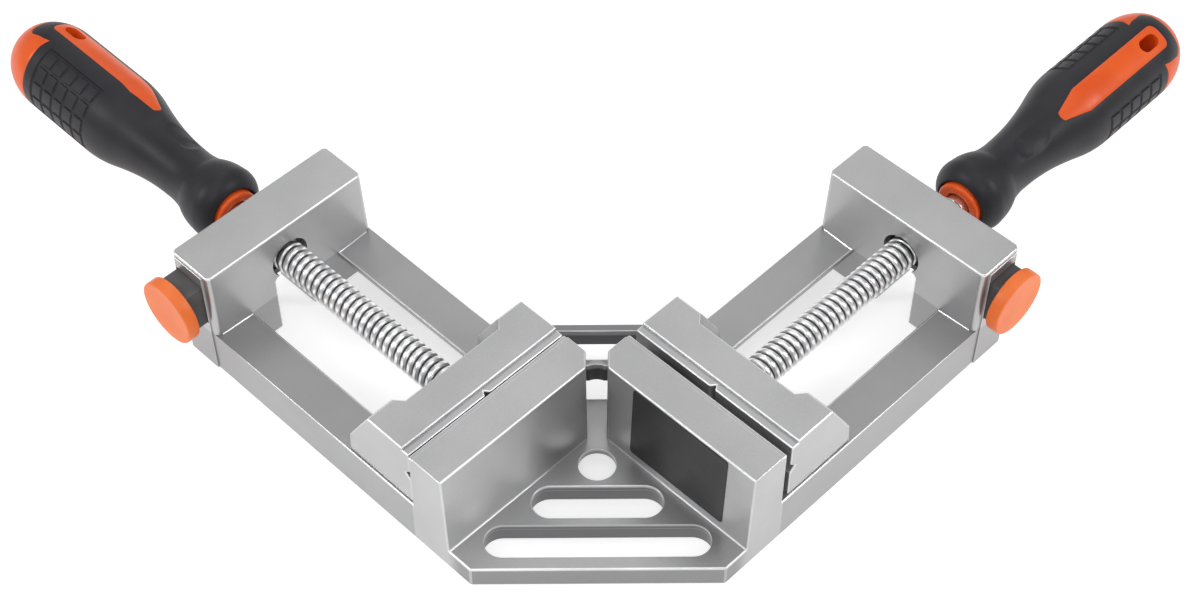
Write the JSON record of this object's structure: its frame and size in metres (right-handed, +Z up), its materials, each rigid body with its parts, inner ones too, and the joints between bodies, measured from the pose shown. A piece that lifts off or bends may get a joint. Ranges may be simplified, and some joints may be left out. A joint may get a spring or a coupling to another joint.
{
  "type": "corner clamp",
  "caption": "Right-angle corner clamp: cast frame with screw-driven sliding jaws, quick-release buttons and soft-grip handles.",
  "frame": {"origin": "the work corner: where the planes of the two fixed clamping faces meet, on the plane of the base", "axes": "+X outward along the right arm and its screw, +Y outward along the left arm and its screw, +Z up from the base"},
  "size_m": [0.3496, 0.3441, 0.0502],
  "materials": {
    "silver_casting": "die-cast aluminium with a satin silver coat",
    "plated_steel": "zinc-plated flat steel",
    "screw_steel": "plain machine screws and pins",
    "chromed_screw": "bright plated trapezoidal screw",
    "washer_steel": "ground steel",
    "spring_steel": "drawn spring wire",
    "orange_plastic": "moulded, slightly glossy",
    "black_rubber": "soft overmould, satin",
    "dark_plastic": "moulded dark block with a half nut"
  },
  "bodies": {
    "frame": {"frame_casting": "silver_casting"},
    "left_jaw": {"left_moving_jaw": "silver_casting", "left_jaw_keeper_plate": "plated_steel", "left_jaw_keeper_screws": "screw_steel", "left_spindle_retaining_pins": "screw_steel", "left_thrust_washer": "washer_steel"},
    "left_screw": {"left_spindle": "chromed_screw", "left_handle_core": "orange_plastic", "left_handle_grip": "black_rubber"},
    "left_release": {"left_release_block": "dark_plastic", "left_release_button": "orange_plastic", "left_release_spring": "spring_steel"},
    "right_jaw": {"right_moving_jaw": "silver_casting", "right_jaw_keeper_plate": "plated_steel", "right_jaw_keeper_screws": "screw_steel", "right_spindle_retaining_pins": "screw_steel", "right_thrust_washer": "washer_steel"},
    "right_screw": {"right_spindle": "chromed_screw", "right_handle_core": "orange_plastic", "right_handle_grip": "black_rubber"},
    "right_release": {"right_release_block": "dark_plastic", "right_release_button": "orange_plastic", "right_release_spring": "spring_steel"}
  },
  "joints": [
    {"name": "left_jaw_slide", "type": "slide", "parent": "frame", "child": "left_jaw", "axis": [0, 1, 0], "range_m": [-0.0006, 0.0663]},
    {"name": "left_screw_turn", "type": "hinge", "parent": "left_jaw", "child": "left_screw", "pos_m": [-0.0507, 0.1267, 0.0335], "axis": [0, 1, 0], "range_deg": [-73, 7957]},
    {"name": "left_release_press", "type": "slide", "parent": "frame", "child": "left_release", "axis": [1, 0, 0], "range_m": [0, 0.0053], "stiffness_N_per_m": 400, "springref_m": -0.001, "deforming": ["left_release_spring"]},
    {"name": "right_jaw_slide", "type": "slide", "parent": "frame", "child": "right_jaw", "axis": [1, 0, 0], "range_m": [-0.0033, 0.0636]},
    {"name": "right_screw_turn", "type": "hinge", "parent": "right_jaw", "child": "right_screw", "pos_m": [0.1267, -0.0507, 0.0335], "axis": [1, 0, 0], "range_deg": [-397, 7633]},
    {"name": "right_release_press", "type": "slide", "parent": "frame", "child": "right_release", "axis": [0, 1, 0], "range_m": [-0.0028, 0.0025], "stiffness_N_per_m": 400, "deforming": ["right_release_spring"]}
  ],
  "couplings": [
    {"joint": "left_screw_turn", "follows": "left_jaw_slide", "rad_per_m": 2094.4},
    {"joint": "right_screw_turn", "follows": "right_jaw_slide", "rad_per_m": 2094.4}
  ]
}
